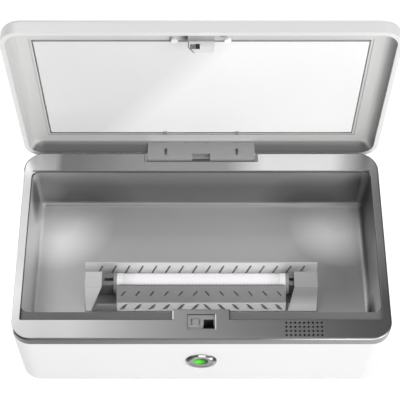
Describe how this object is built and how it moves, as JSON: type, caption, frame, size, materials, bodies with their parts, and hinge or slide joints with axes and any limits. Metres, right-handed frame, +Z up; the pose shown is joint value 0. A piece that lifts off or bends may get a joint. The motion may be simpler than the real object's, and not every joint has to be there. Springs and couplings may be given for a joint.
{
  "type": "uv sanitizer box for phones",
  "caption": "Countertop UV sanitizer box with a mirror-lined hinged lid, a slotted lamp guard in a metal chamber and a lit power button on its front.",
  "frame": {"origin": "middle of the tub's footprint, on the plane that the four rubber feet stand on", "axes": "+Z up, front with the power button towards -Y, long side along X; the lid stands open at rest"},
  "size_m": [0.28, 0.1778, 0.2343],
  "materials": {
    "white_shell": "smooth white ABS with a soft sheen",
    "white_cover": "fine-textured white ABS",
    "silver_coat": "vacuum-metallised silver plastic",
    "polished_steel": "bright stainless sheet",
    "mirror": "silvered glass",
    "lamp_glass": "clear quartz lamp envelope",
    "lamp_cap": "satin end cap with brass pins",
    "lamp_holder": "white lamp holder",
    "hinge_plastic": "satin grey acetal",
    "latch_plastic": "metallised silver plastic",
    "socket_plastic": "grey plastic",
    "black_plastic": "black plastic",
    "screw_steel": "zinc-plated",
    "bush_brass": "plain brass",
    "bezel_chrome": "bright ring",
    "button_face": "silver button cap",
    "green_lens": "lit translucent green",
    "circuit_board": "green board with dark parts",
    "feet_rubber": "dark grey rubber"
  },
  "bodies": {
    "base": {"base_shell": "white_shell", "bottom_cover": "white_cover", "rubber_feet": "feet_rubber", "cover_screws": "screw_steel", "deck_panel": "silver_coat", "deck_screws": "screw_steel", "chamber_liner": "polished_steel", "lamp_reflector": "polished_steel", "lamp_guard": "polished_steel", "lamp_tube": "lamp_glass", "lamp_caps": "lamp_cap", "lamp_holder_left": "lamp_holder", "lamp_holder_right": "lamp_holder", "lamp_bracket_left": "polished_steel", "lamp_bracket_right": "polished_steel", "latch_socket": "socket_plastic", "lid_switch": "black_plastic", "sounder": "black_plastic", "button_bezel": "bezel_chrome", "button_nut": "screw_steel", "switch_body": "black_plastic", "control_board": "circuit_board", "lamp_ballast": "circuit_board", "board_screws": "screw_steel", "dc_jack": "black_plastic", "hinge_cradle": "hinge_plastic", "cradle_screws": "screw_steel", "hinge_bushes": "bush_brass"},
    "lid": {"lid_shell": "white_shell", "lid_liner": "silver_coat", "mirror": "mirror", "mirror_clips": "polished_steel", "latch_hook": "latch_plastic", "latch_screws": "screw_steel", "hinge_lug": "hinge_plastic", "hinge_pins": "screw_steel"},
    "power_button": {"power_button": "button_face", "button_lens": "green_lens"}
  },
  "joints": [
    {"name": "lid_hinge", "type": "hinge", "parent": "base", "child": "lid", "pos_m": [0, 0.0775, 0.076], "axis": [1, 0, 0], "range_deg": [0, 88.8]},
    {"name": "power_button_press", "type": "slide", "parent": "base", "child": "power_button", "axis": [0, 1, 0], "range_m": [0, 0.0015], "stiffness_N_per_m": 600, "springref_m": -0.0005}
  ]
}
